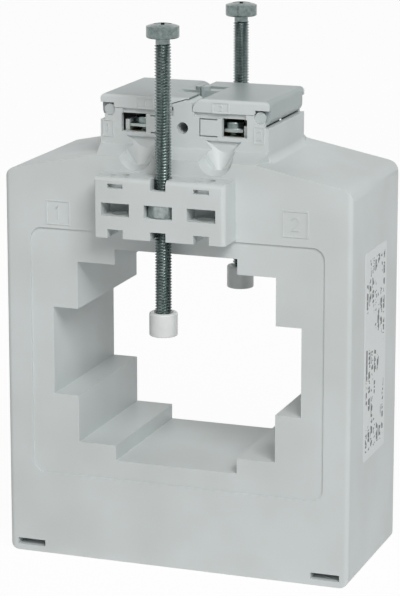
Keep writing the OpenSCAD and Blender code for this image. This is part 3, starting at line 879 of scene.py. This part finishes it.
@dataclass
class Lamp:
    """One soft rectangular lamp that looks at the object."""

    name: str
    place: tuple[float, float, float]
    size: float
    power: float
    colour: str = "#ffffff"

    def build(self, target: tuple[float, float, float]) -> None:
        """Hangs the lamp, aimed at the target."""
        data = bpy.data.lights.new(self.name, "AREA")
        data.shape = "SQUARE"
        data.size = self.size
        data.energy = self.power
        data.color = linear(self.colour)[:3]
        lamp = bpy.data.objects.new(self.name, data)
        bpy.context.scene.collection.objects.link(lamp)
        lamp.location = self.place
        way = np.array(target) - np.array(self.place)
        lamp.rotation_euler = Vector(way.tolist()).to_track_quat("-Z", "Y").to_euler()


@dataclass
class Studio:
    """Camera, floor, surroundings and lamps."""

    target: tuple[float, float, float] = (0.0, 0.0, 0.06)
    camera_mm: tuple[float, float, float] = (208.54, -578.1, 212.27)
    turn_deg: tuple[float, float, float] = (77.984, 0.0, 19.911)
    lens: float = 155.0
    shift: float = -0.1208
    lamps: list[Lamp] = field(default_factory=list)
    fill: float = 0.15
    fill_colour: str = "#ffffff"

    def build(self) -> None:
        """Sets up the view, the floor, the surroundings and the lamps."""
        self.camera()
        self.floor()
        self.surroundings()
        for lamp in self.lamps:
            lamp.build(self.target)

    def camera(self) -> None:
        """Places the camera at the product's three-quarter view."""
        data = bpy.data.cameras.new("camera")
        data.lens = self.lens
        data.sensor_width = 36.0
        data.shift_y = self.shift
        data.clip_start = 0.01
        data.clip_end = 50.0
        eye = bpy.data.objects.new("camera", data)
        bpy.context.scene.collection.objects.link(eye)
        eye.location = [v * MM for v in self.camera_mm]
        eye.rotation_euler = [math.radians(v) for v in self.turn_deg]
        bpy.context.scene.camera = eye

    @staticmethod
    def seen(tree: bpy.types.NodeTree) -> bpy.types.NodeSocket:
        """One for rays from the camera, from gloss and through glass; nought for the light itself."""
        path = add(tree, "ShaderNodeLightPath")
        some = add(
            tree, "ShaderNodeMath", {"operation": "MAXIMUM"}, i0=path.outputs["Is Camera Ray"],
            i1=path.outputs["Is Glossy Ray"],
        )
        return add(
            tree, "ShaderNodeMath", {"operation": "MAXIMUM"}, i0=some.outputs[0],
            i1=path.outputs["Is Transmission Ray"],
        ).outputs[0]

    def floor(self) -> None:
        """A pale floor that shows white and keeps a faint shadow."""
        step = np.array([[-1.0, -1.0, 0.0], [1.0, -1.0, 0.0], [1.0, 1.0, 0.0], [-1.0, 1.0, 0.0]]) * 4000
        step[:, 2] = -0.01
        material = bpy.data.materials.new("white_paper_floor")
        material.use_nodes = True
        tree = material.node_tree
        tree.nodes.clear()
        paper = add(tree, "ShaderNodeBsdfDiffuse", None, Color=linear("#f2f2f2"))
        glow = add(tree, "ShaderNodeEmission", None, Color=linear("#ffffff"), Strength=1.0)
        share = add(tree, "ShaderNodeMath", {"operation": "MULTIPLY"}, i0=self.seen(tree), i1=0.96)
        mix = add(
            tree, "ShaderNodeMixShader", None, i0=share.outputs[0], i1=paper.outputs[0],
            i2=glow.outputs[0],
        )
        add(tree, "ShaderNodeOutputMaterial", None, Surface=mix.outputs[0])
        piece = make_piece("floor", step, [[0, 1, 2, 3]], material, None)

    def surroundings(self) -> None:
        """A white room to the eye and to gloss, and a low even fill for the light."""
        world = bpy.data.worlds.new("studio")
        bpy.context.scene.world = world
        world.use_nodes = True
        tree = world.node_tree
        tree.nodes.clear()
        strength = add(tree, "ShaderNodeMapRange", None, Value=self.seen(tree), i3=self.fill, i4=1.0)
        tint = add(
            tree, "ShaderNodeMix", {"data_type": "RGBA"}, i0=self.seen(tree), i6=linear(self.fill_colour),
            i7=linear("#ffffff"),
        )
        back = add(
            tree, "ShaderNodeBackground", None, Color=tint.outputs[2], Strength=strength.outputs["Result"],
        )
        add(tree, "ShaderNodeOutputWorld", None, Surface=back.outputs[0])


def stock_finishes(shop: Workshop) -> None:
    """Builds every finish that the object uses."""
    shop.stock(
        MouldedPlastic("moulded_polycarbonate"),
        # the cover finish paints shade on the tops and skirts
        CoverPlastic("cover_polycarbonate_painted_shade"),
        ZincPlate("zinc_plated_screw"),
        ZincPlate("zinc_plated_nut", light="#aab3b1", dark="#8a9492", roughness=0.3),
        Polyamide("moulded_polyamide"),
        DrawnMetal("nickel_washed_brass"),
        DrawnMetal(
            "core_strip", light="#8b8f96", dark="#6d7178", along=(1.0, 40.0, 1.0), line_mm=4.0,
            roughness=0.4,
        ),
        MouldedPlastic("dark_core_case", pale="#35383c", deep="#2c2f33"),
        DrawnMetal(
            "enamelled_copper", light="#b8703f", dark="#96552c", line_mm=0.4, along=(1.0, 1.0, 1.0),
            roughness=0.25,
        ),
        PrintedFilm("printed_film"),
    )


def main() -> None:
    """Builds the transformer's sub-assemblies in order and reports each."""
    logging.basicConfig(level=logging.INFO, format="%(name)s: %(message)s")
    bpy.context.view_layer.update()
    bpy.context.scene.view_settings.view_transform = "Standard"
    shop = Workshop()
    stock_finishes(shop)
    housing = Housing(shop)
    for part in (housing, Clamp(shop), Covers(shop, housing), Terminals(shop), Magnetics(shop), Label(shop)):
        part.build()
        log.info("finished %s", type(part).__name__)
    Studio(
        lamps=[
            Lamp("key_softbox", (0.886, -1.056, 1.217), 0.8, 20.5, "#fdfeff"),
            Lamp("front_softbox", (0.239, -1.358, 1.217), 0.8, 4.63, "#fff6ef"),
            Lamp("rear_softbox", (0.38, 0.659, 1.691), 0.8, 1.12, "#e4ffff"),
        ]
    ).build()


if __name__ == "__main__":
    main()
